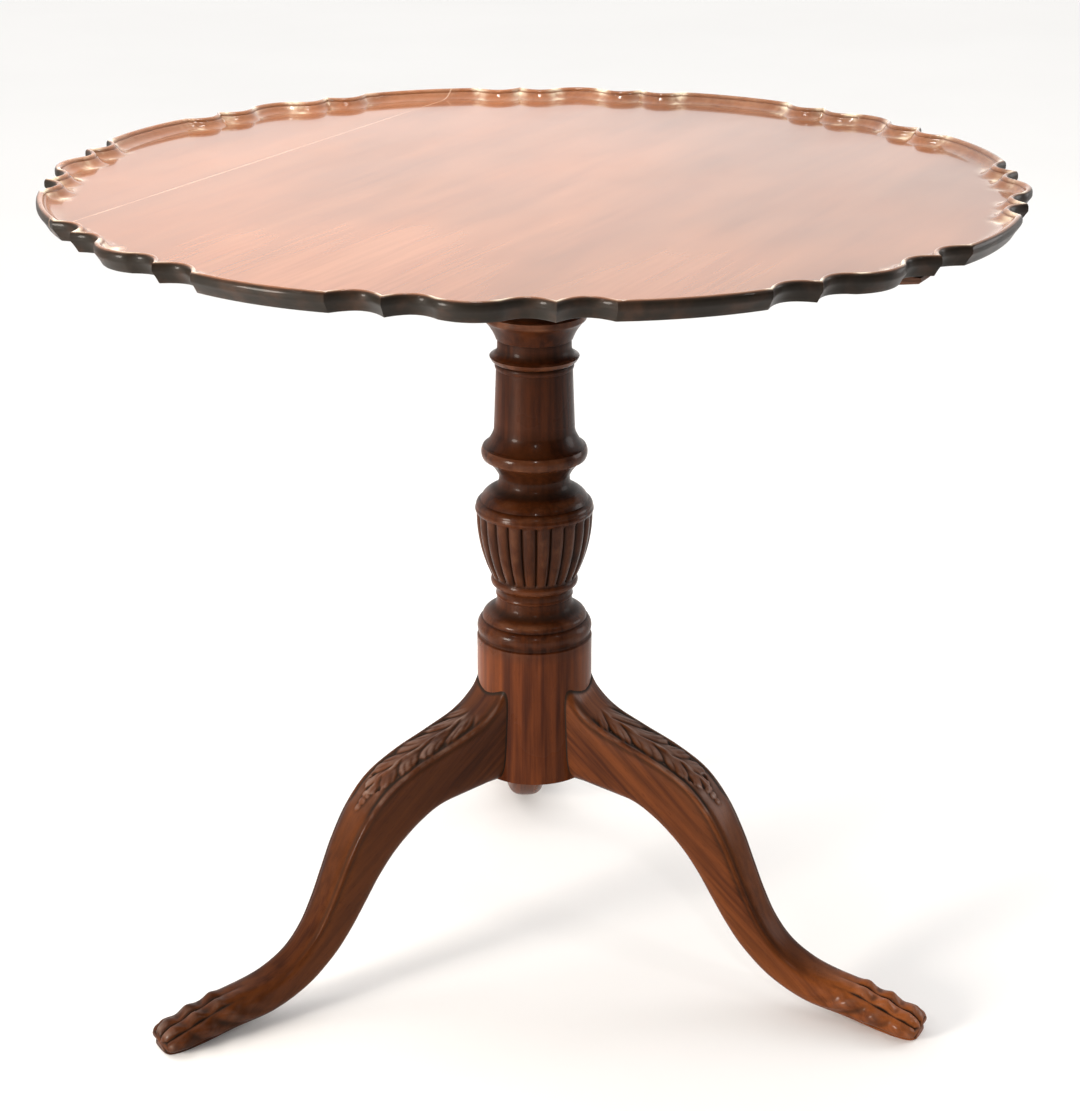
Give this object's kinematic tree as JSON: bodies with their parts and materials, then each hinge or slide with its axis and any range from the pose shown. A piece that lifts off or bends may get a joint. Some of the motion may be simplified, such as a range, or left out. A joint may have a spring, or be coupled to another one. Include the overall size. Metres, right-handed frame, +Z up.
{
  "type": "tilt-top tea table",
  "caption": "Tilting tray top tea table with a piecrust rim on a turned and reeded column with cabriole legs, carved knees and paw feet.",
  "frame": {"origin": "on the floor, on the column's axis, which is also the middle of the round top", "axes": "+Z up; legs point to +Y and to 30 degrees below -X and +X; the picture looks along +Y"},
  "size_m": [0.826, 0.826, 0.73],
  "materials": {
    "top_wood": "polished mahogany",
    "column_wood": "polished mahogany",
    "leg_wood": "polished and carved mahogany",
    "bearer_wood": "plain planed mahogany",
    "dowel_wood": "turned hardwood",
    "iron": "wrought and blackened",
    "steel_screw": "aged steel",
    "spring_steel": "spring steel",
    "brass": "aged brass"
  },
  "bodies": {
    "base": {"column": "column_wood", "leg_rear": "leg_wood", "leg_front_left": "leg_wood", "leg_front_right": "leg_wood", "iron_spider": "iron", "spider_screws": "steel_screw", "hinge_block": "bearer_wood", "tenon_wedge": "dowel_wood", "pivot_dowel_back": "dowel_wood", "pivot_dowel_front": "dowel_wood", "catch_keeper": "brass", "keeper_screws": "brass"},
    "top": {"top_board_wide": "top_wood", "top_board_narrow": "top_wood", "bearer_back": "bearer_wood", "bearer_front": "bearer_wood", "bearer_screws": "steel_screw", "catch_case": "brass", "catch_screws": "brass", "catch_leaf_spring": "spring_steel"},
    "bolt": {"catch_bolt": "brass", "catch_knob": "brass"}
  },
  "joints": [
    {"name": "top_tilt", "type": "hinge", "parent": "base", "child": "top", "pos_m": [-0.06495, 0.0375, 0.695], "axis": [-0.5, -0.866, 0], "range_deg": [0, 90]},
    {"name": "bolt_slide", "type": "slide", "parent": "top", "child": "bolt", "axis": [-0.866, 0.5, 0], "range_m": [0, 0.007]}
  ]
}
